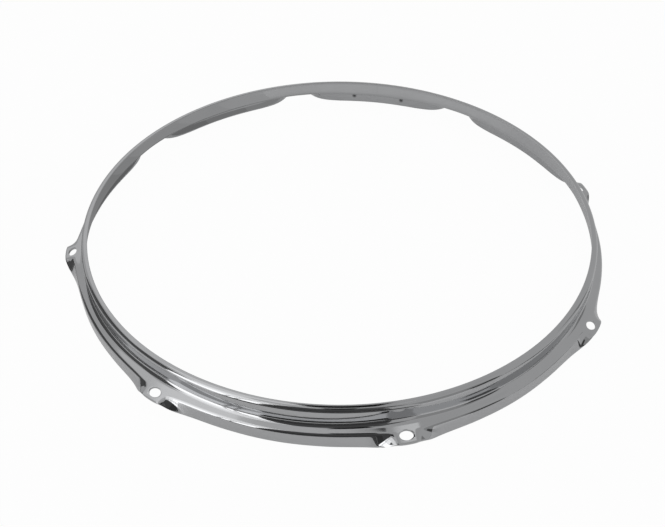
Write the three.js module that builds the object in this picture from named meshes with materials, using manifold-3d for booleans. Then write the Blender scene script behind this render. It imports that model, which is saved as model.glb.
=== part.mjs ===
// A pressed steel counter hoop for a drum: a rolled strip, closed by one flush butt weld, with a curled
// lip, an upright collar, a flange that presses on the drumhead's rim, a skirt that hides that rim, and
// ears with holes for the tension rods. Millimetres, +Z up, origin on the axis, level with the skirt's
// lower edge.
import * as THREE from 'three';
import { mergeVertices } from 'three/addons/utils/BufferGeometryUtils.js';
import Module from 'manifold-3d';

// Driving dimensions of the ring's section. Bend radii are those of the side that faces outwards, and
// every other radius of the ring follows from that of the opening.
const sheetThickness = 1.6;
const openingRadius = 180;
const overallHeight = 24.2;
const lipBendRadius = 3.3;
const lipCurlAngle = 22;
const flangeDepth = 13.16;
const flangeSlope = 13;
const flangeWidth = 6.8;
const collarFootRadius = 2.7;
const skirtFoldRadius = 2;
const skirtDraft = 1.45;
const trimAllowance = 0.3;

// Driving dimensions of the ears. The edge of the sheet and the fold are pressed out at each ear along
// bell curves, whose half widths and powers are given here.
const earCount = 8;
const rodOffset = 2.3;
const rodHoleLength = 8.2;
const rodHoleWidth = 6;
const earReach = 7.3;
const earDepth = 14.3;
const earDip = 11.5;
const earFootRadius = 4;
const earTipHalfWidth = 5.5;
const earSeatHalfWidth = 7;
const reachHalfWidth = 16.3;
const reachPower = 3.1;
const climbHalfWidth = 7.8;
const climbPower = 1.9;
const foldReach = 0.8;
const foldHalfWidth = 20;
const foldPower = 2.5;
const flangeRiseHalfWidth = 20;
const flangeRisePower = 2;
const flareLength = 53;
const shortestBend = 0.4;

// Driving dimensions of the seam, and how far the punch for a rod hole reaches past the sheet
const weldWidth = 1.2;
const punchOverrun = 2;

// Shares: where sections stand along a flare and beyond it, and what flares and bends may take
const flareStationShares = [0.032, 0.07, 0.115, 0.165, 0.23, 0.31, 0.41, 0.56, 0.78, 1];
const plainStationShares = [0.5, 1];
const flareRoomShare = 0.9;
const bendRoomShare = 0.48;
const turnProbeShare = 0.0001;

// How many facets each bend has
const lipBendFacets = 3;
const collarFootFacets = 3;
const skirtFoldFacets = 2;
const rodHoleFacets = 24;

const fullTurn = 2 * Math.PI;
const pitchAngle = fullTurn / earCount;
const seamAngle = Math.PI / 2;
const halfSheet = sheetThickness / 2;
const curlRise = Math.sin(THREE.MathUtils.degToRad(lipCurlAngle));
const collarRadius = openingRadius + lipBendRadius * (1 + curlRise) - halfSheet;
const skirtRadius = collarRadius + flangeWidth;
const rodCircleRadius = skirtRadius + halfSheet + rodOffset;
const halfPitch = rodCircleRadius * pitchAngle / 2;
const flareSpan = Math.min(flareLength, halfPitch * flareRoomShare);
const earHeight = overallHeight - earDepth - halfSheet;
const earFall = Math.tan(THREE.MathUtils.degToRad(earDip));
const flangeFall = Math.tan(THREE.MathUtils.degToRad(flangeSlope));

const steel = new THREE.MeshStandardMaterial({ color: 0xb9bbbd, roughness: 0.12, metalness: 1 });
const weldSteel = new THREE.MeshStandardMaterial({ color: 0xb2b4b6, roughness: 0.2, metalness: 1 });

// A bell curve: one on the flat part of an ear, falling to zero where the flare ends
function pressed(distance, flat, halfWidth, power) {
  const bell = (along) => 1 / (1 + (along / halfWidth) ** power);
  const rest = bell(flareSpan);
  return Math.max(bell(Math.max(distance - flat, 0)) - rest, 0) / (1 - rest);
}

// How far a point at an angle lies from the middle of the nearest ear, along the rod circle
function distanceFromEar(angle) {
  const turns = (angle - seamAngle) / pitchAngle;
  return Math.abs(turns - Math.floor(turns) - 0.5) * pitchAngle * rodCircleRadius;
}

// Points of a round bend with its tangents, between two straight runs that meet in a sharp corner
function bendPoints(before, corner, after, bendRadius, facets) {
  const into = corner.clone().sub(before);
  const out = after.clone().sub(corner);
  const turn = Math.acos(THREE.MathUtils.clamp(into.dot(out) / into.length() / out.length(), -1, 1));
  const room = Math.min(into.length(), out.length()) * bendRoomShare;
  const length = Math.min(Math.max(bendRadius * Math.tan(turn / 2), shortestBend), room);
  const start = corner.clone().addScaledVector(into.normalize(), -length);
  const end = corner.clone().addScaledVector(out.normalize(), length);
  const bend = new THREE.QuadraticBezierCurve(start, corner, end);
  return Array.from({ length: facets + 1 }, (unused, i) => {
    const t = i / facets;
    return { place: bend.getPoint(t), tangent: bend.getTangent(t) };
  });
}

// The curled lip: an arc from the curl's cut edge, over the top, down to the collar
function lipPoints() {
  const radius = lipBendRadius - halfSheet;
  const curl = THREE.MathUtils.degToRad(lipCurlAngle);
  const overTop = Array.from({ length: lipBendFacets + 1 }, (unused, i) => Math.PI / 2 * i / lipBendFacets);
  return [-curl, ...overTop].map((lean) => ({
    place: new THREE.Vector2(
      collarRadius + radius * (Math.sin(lean) - 1),
      overallHeight - lipBendRadius + radius * Math.cos(lean),
    ),
    tangent: new THREE.Vector2(Math.cos(lean), -Math.sin(lean)),
  }));
}

// The middle line of the sheet, from the lip's cut edge to the skirt's, as radius and height. At an ear
// the flange turns into a flat that dips outwards, and the skirt's edge swings out and climbs to it.
function middleLine(distance) {
  const reach = pressed(distance, 0, reachHalfWidth, reachPower);
  const climb = pressed(distance, earTipHalfWidth, climbHalfWidth, climbPower);
  const spread = pressed(distance, 0, foldHalfWidth, foldPower);
  const rise = pressed(distance, earSeatHalfWidth, flangeRiseHalfWidth, flangeRisePower);

  const earFlat = (radius) => {
    const outwards = radius * Math.cos(distance / rodCircleRadius);
    return earHeight - (outwards - rodCircleRadius) * earFall;
  };
  const flange = (radius) => {
    const plain = overallHeight - flangeDepth - halfSheet - (radius - collarRadius) * flangeFall;
    return THREE.MathUtils.lerp(plain, earFlat(radius), rise);
  };

  const foldRadius = skirtRadius - skirtDraft + (foldReach + skirtDraft) * spread;
  const edgeRadius = skirtRadius + (earReach + halfSheet) * reach;
  const lipFoot = new THREE.Vector2(collarRadius, overallHeight - lipBendRadius);
  const collarFoot = new THREE.Vector2(collarRadius, flange(collarRadius));
  const fold = new THREE.Vector2(foldRadius, flange(foldRadius));
  const edge = new THREE.Vector2(
    edgeRadius,
    THREE.MathUtils.lerp(-trimAllowance, earFlat(edgeRadius), climb),
  );

  const footBend = THREE.MathUtils.lerp(collarFootRadius, earFootRadius, rise) + halfSheet;
  return [
    ...lipPoints(),
    ...bendPoints(lipFoot, collarFoot, fold, footBend, collarFootFacets),
    ...bendPoints(collarFoot, fold, edge, skirtFoldRadius - halfSheet, skirtFoldFacets),
    { place: edge, tangent: edge.clone().sub(fold).normalize() },
  ];
}

function turned(vector, angle) {
  return new THREE.Vector3(vector.x * Math.cos(angle), vector.x * Math.sin(angle), vector.y);
}

// What hangs below the level on which the hoop stands is trimmed off along the skirt
function trimmed(point, along) {
  return point.z < 0 ? point.addScaledVector(along, -point.z / along.z).setZ(0) : point;
}

// The sheet's two faces at an angle: every point of the middle line, moved half a sheet each way
// along the true normal of the surface
function sheetAt(angle) {
  const probe = pitchAngle * turnProbeShare;
  const ahead = middleLine(distanceFromEar(angle + probe));
  const behind = middleLine(distanceFromEar(angle - probe));
  return middleLine(distanceFromEar(angle)).map(({ place, tangent }, i) => {
    const along = turned(tangent, angle);
    const around = turned(ahead[i].place, angle + probe).sub(turned(behind[i].place, angle - probe));
    const normal = along.clone().cross(around).normalize();
    const middle = turned(place, angle);
    return {
      outer: trimmed(middle.clone().addScaledVector(normal, halfSheet), along),
      inner: trimmed(middle.clone().addScaledVector(normal, -halfSheet), along),
    };
  });
}

// The plain section at the seam, cut square by the flat end of the strip at a given x
function seamSheetAt(x) {
  const cutAt = (point) => new THREE.Vector3(x, Math.sqrt(point.y ** 2 - x ** 2), point.z);
  return sheetAt(seamAngle).map(({ outer, inner }) => ({ outer: cutAt(outer), inner: cutAt(inner) }));
}

// A closed solid skinned over sections of the sheet, capped at both ends
function skinSections(sections) {
  const count = sections[0].length;
  const ring = 2 * count;
  const positions = [];
  for (const section of sections) {
    const outline = [...section.map((p) => p.outer), ...section.map((p) => p.inner).reverse()];
    outline.forEach((point) => positions.push(...point.toArray()));
  }
  const triangles = [];
  for (let row = 0; row + 1 < sections.length; row += 1) {
    for (let i = 0; i < ring; i += 1) {
      const here = row * ring + i;
      const below = row * ring + (i + 1) % ring;
      triangles.push(here, below, here + ring, below, below + ring, here + ring);
    }
  }
  const last = (sections.length - 1) * ring;
  for (let i = 0; i + 1 < count; i += 1) {
    const [outer, nextOuter, nextInner, inner] = [i, i + 1, ring - 2 - i, ring - 1 - i];
    triangles.push(outer, inner, nextOuter, inner, nextInner, nextOuter);
    triangles.push(last + outer, last + nextOuter, last + inner);
    triangles.push(last + inner, last + nextOuter, last + nextInner);
  }
  const geometry = new THREE.BufferGeometry();
  geometry.setAttribute('position', new THREE.Float32BufferAttribute(positions, 3));
  geometry.setIndex(triangles);
  return geometry;
}

// Angles of the sections round the ring, close together where an ear's sides bend, without the seam's
function sectionAngles() {
  const distances = [
    earTipHalfWidth,
    ...flareStationShares.map((share) => THREE.MathUtils.lerp(earTipHalfWidth, flareSpan, share)),
    ...plainStationShares.map((share) => THREE.MathUtils.lerp(flareSpan, halfPitch, share)),
  ];
  const steps = [...distances.map((d) => -d).reverse().slice(1), 0, ...distances];
  const angles = [];
  for (let ear = 0; ear < earCount; ear += 1) {
    const earAngle = seamAngle + pitchAngle * (ear + 0.5);
    angles.push(...steps.map((step) => earAngle + step / rodCircleRadius));
  }
  return angles.slice(0, -1);
}

const wasm = await Module();
wasm.setup();

function toSolid(geometry) {
  const bare = geometry.clone();
  bare.deleteAttribute('normal');
  bare.deleteAttribute('uv');
  const merged = mergeVertices(bare);
  return new wasm.Manifold(new wasm.Mesh({
    numProp: 3,
    vertProperties: new Float32Array(merged.attributes.position.array),
    triVerts: new Uint32Array(merged.index.array),
  }));
}

function toGeometry(solid) {
  const mesh = solid.getMesh();
  const geometry = new THREE.BufferGeometry();
  geometry.setAttribute('position', new THREE.BufferAttribute(mesh.vertProperties, 3));
  geometry.setIndex(new THREE.BufferAttribute(mesh.triVerts, 1));
  geometry.computeVertexNormals();
  return geometry;
}

// The oval punch that cuts the rod hole of one ear, square to the ear's flat
function rodHolePunch(ear) {
  const radius = rodHoleWidth / 2;
  const angle = seamAngle + pitchAngle * (ear + 0.5);
  const punch = new THREE.CylinderGeometry(radius, radius, sheetThickness + 2 * punchOverrun, rodHoleFacets);
  punch.rotateX(Math.PI / 2);
  punch.scale(1, rodHoleLength / rodHoleWidth, 1);
  punch.rotateY(THREE.MathUtils.degToRad(earDip));
  punch.translate(rodCircleRadius, 0, earHeight);
  punch.rotateZ(angle);
  return toSolid(punch);
}

function hoopBand() {
  const sections = [
    seamSheetAt(-weldWidth / 2),
    ...sectionAngles().map(sheetAt),
    seamSheetAt(weldWidth / 2),
  ];
  let band = toSolid(skinSections(sections));
  for (let ear = 0; ear < earCount; ear += 1) {
    band = band.subtract(rodHolePunch(ear));
  }
  const mesh = new THREE.Mesh(toGeometry(band), steel);
  mesh.name = 'hoop_band';
  return mesh;
}

function buttWeld() {
  const geometry = skinSections([seamSheetAt(weldWidth / 2), seamSheetAt(-weldWidth / 2)]);
  geometry.computeVertexNormals();
  const mesh = new THREE.Mesh(geometry, weldSteel);
  mesh.name = 'butt_weld';
  return mesh;
}

const hoop = new THREE.Group();
hoop.add(hoopBand(), buttWeld());

export default hoop;
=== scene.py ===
"""A pressed steel counter hoop for a drum: the smooth, chrome-plated pieces and the studio they stand in."""

import math

import bmesh
import bpy
import numpy as np
from mathutils import Matrix, Vector


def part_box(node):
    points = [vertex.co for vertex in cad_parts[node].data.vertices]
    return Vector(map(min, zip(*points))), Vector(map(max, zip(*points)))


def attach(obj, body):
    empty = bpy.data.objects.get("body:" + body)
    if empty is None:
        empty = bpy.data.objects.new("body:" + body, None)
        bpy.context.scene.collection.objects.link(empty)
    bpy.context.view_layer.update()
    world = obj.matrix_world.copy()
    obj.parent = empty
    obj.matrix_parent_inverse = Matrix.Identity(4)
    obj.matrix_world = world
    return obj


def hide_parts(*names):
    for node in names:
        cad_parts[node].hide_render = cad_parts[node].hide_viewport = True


bl_info = {
    "name": "Drum Hoop",
    "version": (1, 3, 0),
    "blender": (4, 5, 0),
    "location": "3D View > Sidebar > Drum Hoop",
    "description": "Builds a pressed steel drum hoop and a plain studio round it",
    "category": "Add Mesh",
}

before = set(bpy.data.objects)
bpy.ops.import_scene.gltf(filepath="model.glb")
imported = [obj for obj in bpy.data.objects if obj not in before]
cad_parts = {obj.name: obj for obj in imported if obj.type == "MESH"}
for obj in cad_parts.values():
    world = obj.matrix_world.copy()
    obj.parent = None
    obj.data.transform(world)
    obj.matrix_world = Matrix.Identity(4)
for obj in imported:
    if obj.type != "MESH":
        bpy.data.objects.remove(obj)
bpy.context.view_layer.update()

MM = 0.001
SEAM = math.pi / 2  # the weld's angle round the axis

# Steps of the section, from the lip's cut edge to the skirt's
CROWN_POINTS = 6
SHOULDER_POINTS = 9
COLLAR_STEPS = 4
FLANGE_STEPS = 5
SKIRT_STEPS = 7
BEND_STEPS = 8

# Sections along the hoop, from an ear's middle: on the ear, where its pressing fades, and on to halfway
# between two ears. The weld has its own
EAR_SECTIONS = 29
FADE_SECTIONS = 15
PLAIN_SECTIONS = 7
WELD_SECTIONS = 3

# A bend takes at most this share of a straight run next to it, and at least this length of it,
# and it turns by at least this angle, in radians
BEND_SHARE = 0.48
BEND_LEAST = 0.4 * MM
BEND_LEAST_TURN = 0.0001

# Points this close, as a share of half the weld's width, belong to the band's or the weld's flat ends
END_MARGIN = 0.2

# Finishing of the mesh
MERGE_DISTANCE = 0.02 * MM
CUT_EDGE_ANGLE = math.radians(50)
SMOOTH_ANGLE = math.radians(35)
EDGE_SEGMENTS = 2
PUNCH_SIDES = 64
PUNCH_SHEETS = 3  # length of a punch, in thicknesses of the sheet

# Roughness of the plating and the floor
BAND_ROUGHNESS = 0.055
WELD_ROUGHNESS = 0.07
FLOOR_ROUGHNESS = 0.22

# Haze makes the plating rougher by up to the first factor, and spots darken it by up to the second.
# The scales draw its polishing marks out level
HAZE_FACTOR = 1.9
SPOT_FACTOR = 0.93
POLISH_SCALES = (0.06, 0.06, 1.0)

# Between these depths of a ray, a card goes over from its first level to the one at second hand
SECOND_HAND = (1.4, 1.6)

# The photograph's camera, fitted to the picture, in metres, degrees and millimetres
CAMERA_POSITION = (0.081029, -0.406582, 0.347211)
CAMERA_HEADING = 101.942
CAMERA_DIP = 42.788
CAMERA_ROLL = 0.4328
CAMERA_LENS = 38.445
CAMERA_SENSOR = 36.0
CAMERA_RANGE = (0.01, 50.0)  # metres
# From the axis towards the camera, in degrees round from +X. The sides of cards and panels count from here
PHOTO_HEADING = 281.942

# The room's level for the metal, and how much of the floor is plain white, to the camera and in metal
ROOM_LEVEL = 0.52
FLOOR_GLOW = 0.97
FLOOR_MIRRORED = 0.25
FLOOR_RADIUS = 6.0
FLOOR_SIDES = 96

# Cards round the hoop: name, level, level at second hand, left and right side, lowest and highest elevation,
# in degrees, and distance in metres
CARDS = (
    ("lamp_left", 2.0, 1.6, -63, -28, 0, 27, 2.6),
    ("lamp_left_high", 1.5, 0.7, -63, -28, 27, 50, 2.6),
    ("lamp_left_top", 1.2, 0.8, -80, -32, 45, 70, 2.7),
    ("lamp_back", 0.95, 0.95, -178, -78, 58, 74, 2.7),
    ("wall_back", 0.7, 0.7, -178, -132, 22, 58, 2.6),
    ("stand_left", 0.3, 0.3, -40, -38.8, 0, 70, 2.5),
    ("stand_left_again", 0.3, 0.3, -36.2, -35, 0, 70, 2.5),
    ("pale_wall_left", 0.72, 0.6, -180, -100, 46, 58, 2.7),
    ("ceiling_left", 0.62, 0.62, -180, -30, 74, 89, 2.8),
    ("ceiling_right", 0.5, 0.6, 30, 180, 60, 89, 2.8),
    ("lamp_high_right", 0.85, 0.8, 118, 129, 75, 78.2, 2.5),
    ("dark_low", 0.05, 0.05, -28, 17, 0, 25, 2.6),
    ("dark_front", 0.08, 1.0, -28, 17, 25, 68, 2.6),
    ("dark_high_right", 0.12, 0.8, 13, 28, 42, 76, 2.5),
    ("wall_right", 0.37, 0.8, 27, 58, 0, 45, 2.6),
    ("dark_right", 0.07, 0.15, 46, 57, 0, 26, 2.5),
    ("stand_right", 0.28, 0.6, 97, 106, 0, 36, 2.6),
    ("dark_left", 0.1, 0.25, -112, -92, 0, 26, 2.6),
    ("dark_left_top", 0.08, 0.4, -117, -92, 26, 38, 2.6),
    ("dark_left_front", 0.1, 0.9, -92, -63, 12, 45, 2.6),
    ("dark_left_low", 0.1, 0.1, -92, -63, 0, 12, 2.6),
)
CARD_STEP = 4  # degrees between the folds of a bent card

# Panels just over the floor, seen only in the metal, of painted reflection and painted shade: name, level,
# left and right side in degrees, and near and far edge in metres
PANEL_HEIGHT = 0.5 * MM
FLOOR_PANELS = (
    # Painted reflection: dark sheets for the dark surroundings that the glossy floor mirrors in front and at
    # the sides, as the metal shows them
    ("floor_dark_front", 0.07, -28, 17, 0.222, 0.7),
    ("floor_dark_left", 0.12, -110, -64, 0.225, 0.7),
    ("floor_dark_right", 0.09, 46, 57, 0.225, 0.7),
    # Painted shade: dim sheets inside the ring for the floor's contact shadow, as the collar and skirt mirror
    # it
    ("floor_dim_left", 0.33, -112, -78, 0.15, 0.183),
    ("floor_dim_left_again", 0.38, -120, -112, 0.15, 0.183),
    ("floor_dim_back_left", 0.43, -138, -120, 0.15, 0.183),
    ("floor_dim_back", 0.465, -150, -138, 0.15, 0.183),
    ("floor_dim_back_again", 0.495, -162, -150, 0.15, 0.183),
    # Painted shade: darker sheets along the hoop's foot for the floor's contact shadow there, as the skirt
    # mirrors it
    ("floor_foot_left", 0.2, -130, -78, 0.183, 0.1895),
    ("floor_foot_back_left", 0.24, -142, -130, 0.183, 0.1895),
    ("floor_foot_back_left_again", 0.29, -154, -142, 0.183, 0.1895),
    ("floor_foot_back", 0.35, -175, -154, 0.183, 0.1895),
)

# Black boards over the hoop: name, level at second hand, and in metres the left and right side, the height,
# and the edges nearest to the camera and furthest from it
BOARD_LEVEL = 0.01
BOARDS = (
    ("board", 0.3, -0.062, 0.082, 0.6, 0.08, -0.42),
    ("board_front", 0.52, -0.045, 0.045, 0.6, 0.4, 0.17),
)

# Where the jaws of the welding machine have marked the inside of the skirt, and how a mark fades, in metres
MARK_CORE = 0.9 * MM
MARK_EDGE = 2.6 * MM
MARK_TINT = (0.1, 0.1, 0.1, 1.0)
JAW_MARKS = ((-0.0222, 0.1874, 0.0060), (0.0222, 0.1874, 0.0056))


def length(name, description, default):
    """A size given in millimetres and kept in metres."""
    return bpy.props.FloatProperty(
        name=name, description=description, default=default * MM,
        min=0.0, soft_max=1.0, precision=5, subtype="DISTANCE", unit="LENGTH",
    )


def angle(name, description, default):
    """An angle given in degrees and kept in radians."""
    return bpy.props.FloatProperty(
        name=name, description=description, default=math.radians(default),
        precision=3, subtype="ANGLE", unit="ROTATION",
    )


def plain(name, description, default):
    """A plain number without a unit."""
    return bpy.props.FloatProperty(
        name=name, description=description, default=default,
        min=0.0, precision=3, subtype="NONE", unit="NONE",
    )


def colour(name, description, default):
    """A colour, as red, green and blue."""
    return bpy.props.FloatVectorProperty(
        name=name, description=description, default=default,
        size=3, min=0.0, max=1.0, subtype="COLOR",
    )


class HoopSizes(bpy.types.PropertyGroup):
    """Sizes of the band's section"""

    sheet: length("Sheet", "Thickness of the steel", 1.6)
    opening_radius: length("Opening radius", "From the axis to the curled lip's cut edge", 180)
    height: length("Height", "From the skirt's cut edge to the top of the lip", 24.2)
    lip_bend: length("Lip bend", "Outer radius of the roll from the opening's edge to the collar", 3.3)
    lip_crown: length("Lip crown", "Radius of the lip's flatter top, at the middle of the sheet", 3.4)
    lip_shoulder: length("Lip shoulder", "Radius where the lip turns down, at the middle of the sheet", 1.9)
    shoulder_start: angle("Shoulder start", "How far the lip leans out where its shoulder starts", 15)
    lip_curl: angle("Lip curl", "How far the lip turns in past its top", 22)
    flange_depth: length("Flange depth", "From the top of the lip to the flange at the collar", 13.16)
    flange_slope: angle("Flange slope", "How much the flange falls away from the collar", 13)
    flange_width: length("Flange width", "From the collar's outer face to the skirt's", 6.77)
    collar_foot: length("Collar foot", "Radius of the bend from collar to flange", 3.2)
    skirt_fold: length("Skirt fold", "Radius of the bend from flange to skirt", 2.4)
    skirt_draft: length("Skirt draft", "How much further out the skirt's edge is than its fold", 0.5)
    trim: length("Trim", "How much of the skirt is trimmed off level at the foot", 0.3)


class EarSizes(bpy.types.PropertyGroup):
    """Sizes of the pressed ears and of the curves that lead into them"""

    count: bpy.props.IntProperty(name="Ears", description="Ears round the hoop", default=8, min=3, max=16)
    rod_offset: length("Rod offset", "From the skirt to the circle of the rod holes", 2.33)
    hole_length: length("Hole length", "Length of a rod hole, along the hoop", 8.2)
    hole_width: length("Hole width", "Width of a rod hole, across the hoop", 6.0)
    reach: length("Reach", "How far an ear stands out past the skirt", 7.33)
    depth: length("Depth", "From the top of the lip to the flat of an ear", 14.3)
    dip: angle("Dip", "How much the flat of an ear falls away outwards", 11.5)
    foot_radius: length("Foot radius", "Radius of the collar's foot at an ear", 4.0)
    tip_half_width: length("Tip half width", "Half the width of an ear's straight tip", 5.5)
    seat_half_width: length("Seat half width", "Half the width of an ear's flat", 7.0)
    reach_half_width: length("Reach half width", "Half width of the curve that swings the edge out", 16.3)
    reach_power: plain("Reach power", "How sharply the edge swings out", 3.1)
    climb_half_width: length("Climb half width", "Half width of the curve that makes the edge climb", 7.8)
    climb_power: plain("Climb power", "How sharply the edge climbs", 1.9)
    fold_reach: length("Fold reach", "How far the fold stands out at an ear", 0.8)
    fold_half_width: length("Fold half width", "Half width of the curve that moves the fold out", 20)
    fold_power: plain("Fold power", "How sharply the fold moves out", 2.5)
    flange_half_width: length("Flange half width", "Half width of the curve from flange to an ear's flat", 20)
    flange_power: plain("Flange power", "How sharply the flange turns into an ear's flat", 2.0)
    flare_length: length("Flare length", "How far from an ear's middle the pressing dies out", 53)


class FinishSettings(bpy.types.PropertyGroup):
    """Colours of the plating and the floor, and the rounding of cut edges"""

    chrome: colour("Chrome", "Colour of the plating", (0.545, 0.55, 0.56))
    weld: colour("Weld", "Colour of the plating over the weld", (0.53, 0.535, 0.545))
    edge_round: length("Edge rounding", "Radius that the polishing leaves on cut edges", 0.25)
    floor: colour("Floor", "Colour of the floor", (0.85, 0.85, 0.85))


def sizes():
    """The section's sizes, as the panel has them."""
    return bpy.context.scene.hoop_sizes


def ears():
    """The ears' sizes, as the panel has them."""
    return bpy.context.scene.hoop_ears


def finish():
    """The finish, as the panel has it."""
    return bpy.context.scene.hoop_finish


def collar_radius():
    """From the axis to the middle of the collar's sheet."""
    s = sizes()
    return s.opening_radius + s.lip_bend * (1 + math.sin(s.lip_curl)) - s.sheet / 2


def skirt_radius():
    """From the axis to the middle of the sheet at the skirt's edge."""
    return collar_radius() + sizes().flange_width


def rod_circle():
    """From the axis to the middle of a rod hole."""
    return skirt_radius() + sizes().sheet / 2 + ears().rod_offset


def pitch():
    """Angle from one ear to the next."""
    return 2 * math.pi / ears().count


def ear_height():
    """Height of the middle of the sheet at a rod hole."""
    return sizes().height - ears().depth - sizes().sheet / 2


def weld_width():
    """Width of the weld, as the CAD part has it."""
    low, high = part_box("butt_weld")
    return high.x - low.x


def mix(a, b, t):
    """Goes from a to b as t goes from zero to one."""
    return a + (b - a) * t


def pressed(distance, flat, half_width, power):
    """A bell curve: one on the flat part of an ear, falling to zero where the pressing dies out."""
    rest = 1 / (1 + (ears().flare_length / half_width) ** power)
    bell = 1 / (1 + (np.maximum(distance - flat, 0) / half_width) ** power)
    return np.maximum(bell - rest, 0) / (1 - rest)


def run(start, end, steps):
    """Points strictly between two arrays of places."""
    return [mix(start, end, i / steps) for i in range(1, steps)]


def bend(before, corner, after, radius, steps):
    """Points of a round bend between two straight runs that meet at a corner, for every angle at once."""
    into = corner - before
    out = after - corner
    len_in = np.linalg.norm(into, axis=1)
    len_out = np.linalg.norm(out, axis=1)
    a = into / len_in[:, None]
    b = out / len_out[:, None]
    turn = np.maximum(np.arccos(np.clip((a * b).sum(1), -1, 1)), BEND_LEAST_TURN)
    room = np.minimum(len_in, len_out) * BEND_SHARE
    tangent = np.minimum(np.maximum(radius * np.tan(turn / 2), BEND_LEAST), room)
    fitted_radius = tangent / np.tan(turn / 2)
    side = np.where(a[:, 0] * b[:, 1] - a[:, 1] * b[:, 0] < 0, -1.0, 1.0)
    normal = np.stack([-a[:, 1], a[:, 0]], 1) * side[:, None]
    start = corner - a * tangent[:, None]
    points = []
    for i in range(steps + 1):
        turned = turn * i / steps
        forward = (fitted_radius * np.sin(turned))[:, None] * a
        inward = (fitted_radius * (1 - np.cos(turned)))[:, None] * normal
        points.append(start + forward + inward)
    return points


def middle_lines(distance):
    """The sheet's middle line at many distances from an ear.

    The array's axes are the distances, the points of each line, and radius and height.
    """
    s, e = sizes(), ears()
    half = s.sheet / 2
    collar, skirt = collar_radius(), skirt_radius()
    reach = pressed(distance, 0, e.reach_half_width, e.reach_power)
    climb = pressed(distance, e.tip_half_width, e.climb_half_width, e.climb_power)
    spread = pressed(distance, 0, e.fold_half_width, e.fold_power)
    rise = pressed(distance, e.seat_half_width, e.flange_half_width, e.flange_power)

    def ear_flat(radius):
        outwards = radius * np.cos(distance / rod_circle())
        return ear_height() - (outwards - rod_circle()) * math.tan(e.dip)

    def flange(radius):
        fall = (radius - collar) * math.tan(s.flange_slope)
        return mix(s.height - s.flange_depth - half - fall, ear_flat(radius), rise)

    def places(radius, height):
        one = np.ones_like(distance)
        return np.stack([radius * one, height * one], 1)

    fold_radius = skirt - s.skirt_draft + (e.fold_reach + s.skirt_draft) * spread
    edge_radius = skirt + (e.reach + half) * reach
    lip_foot = places(collar, s.height - half - s.lip_shoulder)
    collar_foot = places(collar, flange(collar))
    fold = places(fold_radius, flange(fold_radius))
    edge = places(edge_radius, mix(-s.trim, ear_flat(edge_radius), climb))

    def arc(centre, radius, leans):
        across, up = centre
        return [places(across + radius * math.sin(lean), up + radius * math.cos(lean)) for lean in leans]

    start = s.shoulder_start
    rise_of_crown = s.lip_crown * (1 - math.cos(start))
    shoulder = (collar - s.lip_shoulder, s.height - half - rise_of_crown - s.lip_shoulder * math.cos(start))
    shift = s.lip_shoulder - s.lip_crown
    crown = (shoulder[0] + shift * math.sin(start), shoulder[1] + shift * math.cos(start))
    inwards = math.asin((crown[0] - s.opening_radius - half * math.sin(s.lip_curl)) / s.lip_crown)
    lip = [
        *arc(crown, s.lip_crown, np.linspace(-inwards, start, CROWN_POINTS)),
        *arc(shoulder, s.lip_shoulder, np.linspace(start, math.pi / 2, SHOULDER_POINTS)[1:]),
    ]
    foot_radius = mix(s.collar_foot, e.foot_radius, rise) + half
    foot = bend(lip_foot, collar_foot, fold, foot_radius, BEND_STEPS)
    over = bend(collar_foot, fold, edge, s.skirt_fold - half, BEND_STEPS)
    points = [
        *lip, *run(lip[-1], foot[0], COLLAR_STEPS),
        *foot, *run(foot[-1], over[0], FLANGE_STEPS),
        *over, *run(over[-1], edge, SKIRT_STEPS), edge,
    ]
    return np.stack(points, 1)


def distance_from_ear(angles):
    """How far places round the hoop lie from the middle of the nearest ear, along the rod circle."""
    turns = (angles - SEAM) / pitch()
    return np.abs(turns - np.floor(turns) - 0.5) * pitch() * rod_circle()


def turns_round():
    """Angles of the sections all round, close together where an ear's sides bend, without the weld's gap."""
    e = ears()
    half_pitch = rod_circle() * pitch() / 2
    near = e.flare_length / 2
    side = np.concatenate([
        np.linspace(0, near, EAR_SECTIONS)[:-1],
        np.linspace(near, e.flare_length, FADE_SECTIONS)[:-1],
        np.linspace(e.flare_length, half_pitch, PLAIN_SECTIONS),
    ])
    steps = np.concatenate([-side[:0:-1], side])[:-1] / rod_circle()
    angles = [SEAM + pitch() * (ear + 0.5) + step for ear in range(e.count) for step in steps]
    half_weld = weld_width() / 2 / sizes().opening_radius
    first, last = SEAM + half_weld, SEAM + 2 * math.pi - half_weld
    return np.array([first, *[a for a in angles if first + half_weld < a < last - half_weld], last])


def roll_strip(name, angles):
    """A flat strip of sheet, rolled and pressed to the hoop's section at the given angles."""
    lines = middle_lines(distance_from_ear(angles))
    rows, columns = lines.shape[:2]
    bpy.ops.object.select_all(action="DESELECT")
    bpy.ops.mesh.primitive_grid_add(x_subdivisions=columns - 1, y_subdivisions=rows - 1, size=1)
    strip = bpy.context.object
    strip.name = name
    strip.data.name = name
    radius, height = lines[..., 0], lines[..., 1]
    places = np.stack([radius * np.cos(angles)[:, None], radius * np.sin(angles)[:, None], height], -1)
    strip.data.vertices.foreach_set("co", places.reshape(-1).astype(np.float32))
    strip.data.update()
    return strip


def apply(piece, kind, **settings):
    """Adds a modifier, sets it and applies it."""
    bpy.context.view_layer.objects.active = piece
    modifier = piece.modifiers.new(kind.title(), kind)
    for key, value in settings.items():
        setattr(modifier, key, value)
    bpy.ops.object.modifier_apply(modifier=modifier.name)


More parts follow.
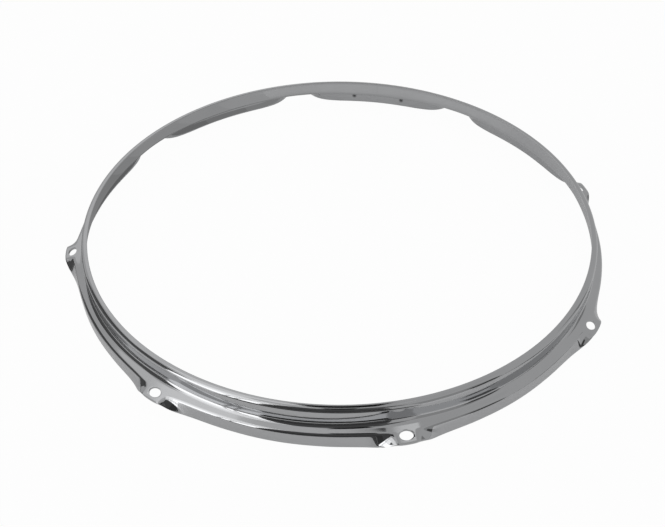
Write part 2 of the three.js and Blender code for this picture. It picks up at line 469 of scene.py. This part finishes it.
def thicken(piece):
    """Gives the strip the thickness of the sheet, cuts its ends square and trims its foot level."""
    apply(piece, "SOLIDIFY", thickness=sizes().sheet, offset=0.0, use_even_offset=False)
    form = bmesh.new()
    form.from_mesh(piece.data)
    bmesh.ops.recalc_face_normals(form, faces=form.faces)
    half_weld = weld_width() / 2
    for vert in form.verts:
        if vert.co.z < 0:
            above = max((edge.other_vert(vert) for edge in vert.link_edges), key=lambda near: near.co.z)
            vert.co = vert.co.lerp(above.co, -vert.co.z / (above.co.z - vert.co.z))
        near_end = half_weld * (1 - END_MARGIN) < abs(vert.co.x) < half_weld * (1 + END_MARGIN)
        if vert.co.y > 0 and near_end:
            radius = math.hypot(vert.co.x, vert.co.y)
            vert.co.x = math.copysign(half_weld, vert.co.x)
            vert.co.y = math.sqrt(radius ** 2 - half_weld ** 2)
    form.to_mesh(piece.data)
    form.free()


def round_cut_edges(piece):
    """Rounds the sheet's cut edges, apart from the two flat ends that meet at the weld."""
    form = bmesh.new()
    form.from_mesh(piece.data)
    bmesh.ops.remove_doubles(form, verts=form.verts, dist=MERGE_DISTANCE)
    weight = form.edges.layers.float.new("bevel_weight_edge")
    for edge in form.edges:
        if len(edge.link_faces) != 2 or edge.calc_face_angle(0) < CUT_EDGE_ANGLE:
            continue
        at_weld = all(vert.co.y > 0 and abs(vert.co.x) < weld_width() for vert in edge.verts)
        along_weld = at_weld and abs(edge.verts[0].co.x - edge.verts[1].co.x) < weld_width() / 4
        if not along_weld:
            edge[weight] = 1.0
    form.to_mesh(piece.data)
    form.free()
    apply(piece, "BEVEL", width=finish().edge_round, segments=EDGE_SEGMENTS, limit_method="WEIGHT")
    bpy.ops.object.select_all(action="DESELECT")
    piece.select_set(True)
    bpy.context.view_layer.objects.active = piece
    bpy.ops.object.shade_smooth_by_angle(angle=SMOOTH_ANGLE)


def rod_punch():
    """One oval punch for every rod hole, square to the ears' flats, as a single object."""
    s, e = sizes(), ears()
    punches = []
    for ear in range(e.count):
        turn = SEAM + pitch() * (ear + 0.5)
        bpy.ops.object.select_all(action="DESELECT")
        bpy.ops.mesh.primitive_cylinder_add(
            vertices=PUNCH_SIDES, radius=e.hole_width / 2, depth=s.sheet * PUNCH_SHEETS,
        )
        punch = bpy.context.object
        stretch = Matrix.Diagonal((1, e.hole_length / e.hole_width, 1, 1))
        lean = Matrix.Rotation(e.dip, 4, "Y")
        move = Matrix.Translation((rod_circle(), 0, ear_height()))
        punch.data.transform(Matrix.Rotation(turn, 4, "Z") @ move @ lean @ stretch)
        punches.append(punch)
    for punch in punches:
        punch.select_set(True)
    bpy.ops.object.join()
    return bpy.context.object


def new_material(name):
    """A fresh material of that name, with its nodes and links."""
    old = bpy.data.materials.get(name)
    if old:
        bpy.data.materials.remove(old)
    material = bpy.data.materials.new(name)
    material.use_nodes = True
    return material, material.node_tree.nodes, material.node_tree.links


def add_noise(material, vector, scale, detail):
    """An even noise over a vector."""
    pattern = material.node_tree.nodes.new("ShaderNodeTexNoise")
    pattern.inputs["Scale"].default_value = scale
    pattern.inputs["Detail"].default_value = detail
    material.node_tree.links.new(vector, pattern.inputs["Vector"])
    return pattern.outputs["Fac"]


def add_range(material, value, before, after):
    """Maps an output from one range to another, and stops at the second range's ends."""
    mapped = material.node_tree.nodes.new("ShaderNodeMapRange")
    for socket, number in zip(("From Min", "From Max", "To Min", "To Max"), (*before, *after)):
        mapped.inputs[socket].default_value = number
    material.node_tree.links.new(value, mapped.inputs["Value"])
    return mapped.outputs["Result"]


def add_glow(material):
    """A white glow of strength one."""
    glow = material.node_tree.nodes.new("ShaderNodeEmission")
    glow.inputs["Color"].default_value = (1.0, 1.0, 1.0, 1.0)
    glow.inputs["Strength"].default_value = 1.0
    return glow


def add_relief(material, height, strength, depth):
    """Relief in the surface, from the height of a pattern."""
    relief = material.node_tree.nodes.new("ShaderNodeBump")
    relief.inputs["Strength"].default_value = strength
    relief.inputs["Distance"].default_value = depth
    material.node_tree.links.new(height, relief.inputs["Height"])
    return relief


def plating(name, tint, roughness, marks=()):
    """Bright chrome plating: haze from handling, hair-fine polishing marks, faint waves and dark marks."""
    material, nodes, links = new_material(name)
    shader = nodes["Principled BSDF"]
    shader.inputs["Metallic"].default_value = 1.0
    place = nodes.new("ShaderNodeTexCoord").outputs["Object"]

    haze = add_noise(material, place, scale=26.0, detail=5.0)
    rough = add_range(material, haze, before=(0.35, 0.75), after=(roughness, roughness * HAZE_FACTOR))
    links.new(rough, shader.inputs["Roughness"])

    tone = nodes.new("ShaderNodeMix")
    tone.data_type = "RGBA"
    tone.inputs["A"].default_value = (*tint, 1.0)
    tone.inputs["B"].default_value = (*[c * SPOT_FACTOR for c in tint], 1.0)
    links.new(add_noise(material, place, scale=60.0, detail=3.0), tone.inputs["Factor"])
    for mark in marks:
        away = nodes.new("ShaderNodeVectorMath")
        away.operation = "DISTANCE"
        away.inputs[1].default_value = mark
        links.new(place, away.inputs[0])
        patch = add_range(material, away.outputs["Value"], before=(MARK_EDGE, MARK_CORE), after=(0.0, 1.0))
        marked = nodes.new("ShaderNodeMix")
        marked.data_type = "RGBA"
        marked.inputs["B"].default_value = MARK_TINT
        links.new(patch, marked.inputs["Factor"])
        links.new(tone.outputs["Result"], marked.inputs["A"])
        tone = marked
    links.new(tone.outputs["Result"], shader.inputs["Base Color"])

    drawn_out = nodes.new("ShaderNodeMapping")
    drawn_out.inputs["Scale"].default_value = POLISH_SCALES
    links.new(place, drawn_out.inputs["Vector"])
    scratches = add_noise(material, drawn_out.outputs["Vector"], scale=900.0, detail=2.0)
    waves = add_noise(material, place, scale=34.0, detail=1.0)
    fine = add_relief(material, scratches, strength=0.02, depth=0.2 * MM)
    soft = add_relief(material, waves, strength=0.12, depth=0.6 * MM)
    links.new(fine.outputs["Normal"], soft.inputs["Normal"])
    links.new(soft.outputs["Normal"], shader.inputs["Normal"])
    return material


def white_floor(name, tint, glow_share, mirrored_share):
    """A pale, faintly glossy floor that keeps shadows, white to the camera and paler in metal and glass."""
    material, nodes, links = new_material(name)
    sheet = nodes["Principled BSDF"]
    sheet.inputs["Base Color"].default_value = (*tint, 1.0)
    sheet.inputs["Roughness"].default_value = FLOOR_ROUGHNESS
    glow = add_glow(material)
    path = nodes.new("ShaderNodeLightPath")
    mirrored = nodes.new("ShaderNodeMath")
    mirrored.operation = "ADD"
    links.new(path.outputs["Is Glossy Ray"], mirrored.inputs[0])
    links.new(path.outputs["Is Transmission Ray"], mirrored.inputs[1])
    dimmed = nodes.new("ShaderNodeMath")
    dimmed.operation = "MULTIPLY"
    dimmed.inputs[1].default_value = mirrored_share
    links.new(mirrored.outputs["Value"], dimmed.inputs[0])
    part = nodes.new("ShaderNodeMath")
    part.operation = "MULTIPLY_ADD"
    part.inputs[1].default_value = glow_share
    links.new(path.outputs["Is Camera Ray"], part.inputs[0])
    links.new(dimmed.outputs["Value"], part.inputs[2])
    blend = nodes.new("ShaderNodeMixShader")
    links.new(part.outputs["Value"], blend.inputs["Fac"])
    links.new(sheet.outputs["BSDF"], blend.inputs[1])
    links.new(glow.outputs["Emission"], blend.inputs[2])
    links.new(blend.outputs["Shader"], nodes["Material Output"].inputs["Surface"])
    return material


def pale_room(name, level):
    """A room that is white to the camera and lights the hoop at a plain, lower level."""
    world = bpy.data.worlds.new(name)
    world.use_nodes = True
    nodes, links = world.node_tree.nodes, world.node_tree.links
    path = nodes.new("ShaderNodeLightPath")
    strength = add_range(world, path.outputs["Is Camera Ray"], before=(0.0, 1.0), after=(level, 1.0))
    nodes["Background"].inputs["Color"].default_value = (1.0, 1.0, 1.0, 1.0)
    links.new(strength, nodes["Background"].inputs["Strength"])
    return world


def card(name, level, later_level):
    """The even glow of a reflecting card, with its own level where the metal shows it at second hand."""
    material, nodes, links = new_material(name)
    nodes.clear()
    out = nodes.new("ShaderNodeOutputMaterial")
    glow = add_glow(material)
    path = nodes.new("ShaderNodeLightPath")
    strength = add_range(material, path.outputs["Ray Depth"], before=SECOND_HAND, after=(level, later_level))
    links.new(strength, glow.inputs["Strength"])
    links.new(glow.outputs["Emission"], out.inputs["Surface"])
    return material


class HOOP_OT_band(bpy.types.Operator):
    """Roll and press the band, punch its rod holes and plate it"""

    bl_idname = "hoop.band"
    bl_label = "Band"

    def execute(self, context):
        band = roll_strip("band", turns_round())
        thicken(band)
        punch = rod_punch()
        apply(band, "BOOLEAN", operation="DIFFERENCE", object=punch, solver="EXACT")
        bpy.data.objects.remove(punch, do_unlink=True)
        round_cut_edges(band)
        band.data.materials.clear()
        band.data.materials.append(plating("chrome_plating", finish().chrome, BAND_ROUGHNESS, JAW_MARKS))
        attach(band, "root")
        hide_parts("hoop_band")
        return {"FINISHED"}


class HOOP_OT_weld(bpy.types.Operator):
    """Fill the seam between the band's two ends with the ground and plated weld"""

    bl_idname = "hoop.weld"
    bl_label = "Weld"

    def execute(self, context):
        half = weld_width() / 2 / sizes().opening_radius
        weld = roll_strip("weld", SEAM + np.linspace(-half, half, WELD_SECTIONS))
        thicken(weld)
        round_cut_edges(weld)
        weld.data.materials.clear()
        weld.data.materials.append(plating("plated_weld", finish().weld, WELD_ROUGHNESS))
        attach(weld, "root")
        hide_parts("butt_weld")
        return {"FINISHED"}


class HOOP_OT_stage(bpy.types.Operator):
    """Lay the floor, hang the lamps and cards and place the camera"""

    bl_idname = "hoop.stage"
    bl_label = "Stage"

    def execute(self, context):
        scene = context.scene
        bpy.ops.object.select_all(action="DESELECT")
        bpy.ops.mesh.primitive_circle_add(
            vertices=FLOOR_SIDES, radius=FLOOR_RADIUS, fill_type="NGON", location=(0, 0, 0),
        )
        floor = context.object
        floor.name = "floor"
        floor.data.materials.append(white_floor("pale_floor", finish().floor, FLOOR_GLOW, FLOOR_MIRRORED))

        scene.world = pale_room("studio", ROOM_LEVEL)
        for name, level, later_level, left, right, low, high, distance in CARDS:
            lifts = [math.radians(lift) for lift in (low, (low + high) / 2, high)]
            rows = [(distance * math.cos(lift), distance * math.sin(lift)) for lift in lifts]
            self.hang_card(name, card(name, level, later_level), left, right, rows)
        # The floor panels: painted reflection and painted shade of the floor, as sheets that only the metal
        # shows
        for name, level, left, right, near, far in FLOOR_PANELS:
            rows = [(near, PANEL_HEIGHT), (far, PANEL_HEIGHT)]
            self.hang_card(name, card(name, level, level), left, right, rows)
        for board in BOARDS:
            self.hang_board(*board)

        camera_data = bpy.data.cameras.new("camera")
        camera_data.lens = CAMERA_LENS
        camera_data.sensor_width = CAMERA_SENSOR
        camera = bpy.data.objects.new("camera", camera_data)
        scene.collection.objects.link(camera)
        camera.matrix_world = camera_place()
        camera_data.clip_start, camera_data.clip_end = CAMERA_RANGE
        scene.camera = camera
        scene.view_settings.view_transform = "Standard"
        return {"FINISHED"}

    def hang_card(self, name, material, left, right, rows):
        """A card bent round the hoop between two sides in degrees, whose rows are radius and height."""
        across = max(2, round((right - left) / CARD_STEP))
        form = bmesh.new()
        lines = []
        for radius, height in rows:
            line = []
            for i in range(across + 1):
                turn = math.radians(PHOTO_HEADING + left + (right - left) * i / across)
                line.append(form.verts.new((math.cos(turn) * radius, math.sin(turn) * radius, height)))
            lines.append(line)
        for lower, upper in zip(lines, lines[1:]):
            for i in range(across):
                form.faces.new((lower[i], lower[i + 1], upper[i + 1], upper[i]))
        self.show_in_metal(name, material, form)

    def hang_board(self, name, later_level, left, right, height, near, far):
        """A level black board over the hoop, for the dark lines that the lip mirrors."""
        turn = math.radians(PHOTO_HEADING)
        ahead = Vector((math.cos(turn), math.sin(turn), 0))
        aside = Vector((-math.sin(turn), math.cos(turn), 0))
        form = bmesh.new()
        corners = [ahead * x + aside * y for x, y in ((near, left), (near, right), (far, right), (far, left))]
        form.faces.new([form.verts.new(corner + Vector((0, 0, height))) for corner in corners])
        self.show_in_metal(name, card(name, BOARD_LEVEL, later_level), form)

    def show_in_metal(self, name, material, form):
        """Turns a form into a panel that only reflections show."""
        mesh = bpy.data.meshes.new(name)
        form.to_mesh(mesh)
        form.free()
        mesh.materials.append(material)
        panel = bpy.data.objects.new(name, mesh)
        bpy.context.scene.collection.objects.link(panel)
        panel.visible_camera = False
        panel.visible_diffuse = False
        panel.visible_shadow = False


def camera_place():
    """The camera's matrix at the photograph's angle."""
    heading = math.radians(CAMERA_HEADING)
    dip = math.radians(CAMERA_DIP)
    roll = math.radians(CAMERA_ROLL)
    flat = Vector((math.cos(heading), math.sin(heading), 0))
    right = Vector((math.sin(heading), -math.cos(heading), 0))
    up = flat * math.sin(dip) + Vector((0, 0, math.cos(dip)))
    back = -flat * math.cos(dip) + Vector((0, 0, math.sin(dip)))
    rolled_right = right * math.cos(roll) - up * math.sin(roll)
    rolled_up = right * math.sin(roll) + up * math.cos(roll)
    turn = Matrix((rolled_right, rolled_up, back)).transposed().to_4x4()
    return Matrix.Translation(CAMERA_POSITION) @ turn


class HOOP_PT_panel(bpy.types.Panel):
    """The hoop's sizes and finish, and a button for each piece and the stage"""

    bl_label = "Drum Hoop"
    bl_idname = "HOOP_PT_panel"
    bl_space_type = "VIEW_3D"
    bl_region_type = "UI"
    bl_category = "Drum Hoop"

    def draw(self, context):
        layout = self.layout
        for group in (context.scene.hoop_sizes, context.scene.hoop_ears, context.scene.hoop_finish):
            box = layout.box()
            for key in group.bl_rna.properties.keys():
                if key not in {"rna_type", "name"}:
                    box.prop(group, key)
        for operator in (HOOP_OT_band, HOOP_OT_weld, HOOP_OT_stage):
            layout.operator(operator.bl_idname)


CLASSES = (HoopSizes, EarSizes, FinishSettings, HOOP_OT_band, HOOP_OT_weld, HOOP_OT_stage, HOOP_PT_panel)


def register():
    """Makes the sizes, operators and panel known to Blender."""
    for cls in CLASSES:
        bpy.utils.register_class(cls)
    bpy.types.Scene.hoop_sizes = bpy.props.PointerProperty(type=HoopSizes)
    bpy.types.Scene.hoop_ears = bpy.props.PointerProperty(type=EarSizes)
    bpy.types.Scene.hoop_finish = bpy.props.PointerProperty(type=FinishSettings)


def unregister():
    """Takes them out again."""
    del bpy.types.Scene.hoop_finish
    del bpy.types.Scene.hoop_ears
    del bpy.types.Scene.hoop_sizes
    for cls in reversed(CLASSES):
        bpy.utils.unregister_class(cls)


def main():
    """Builds the pieces and the stage."""
    register()
    bpy.ops.hoop.band()
    bpy.ops.hoop.weld()
    bpy.ops.hoop.stage()


if __name__ == "__main__":
    main()
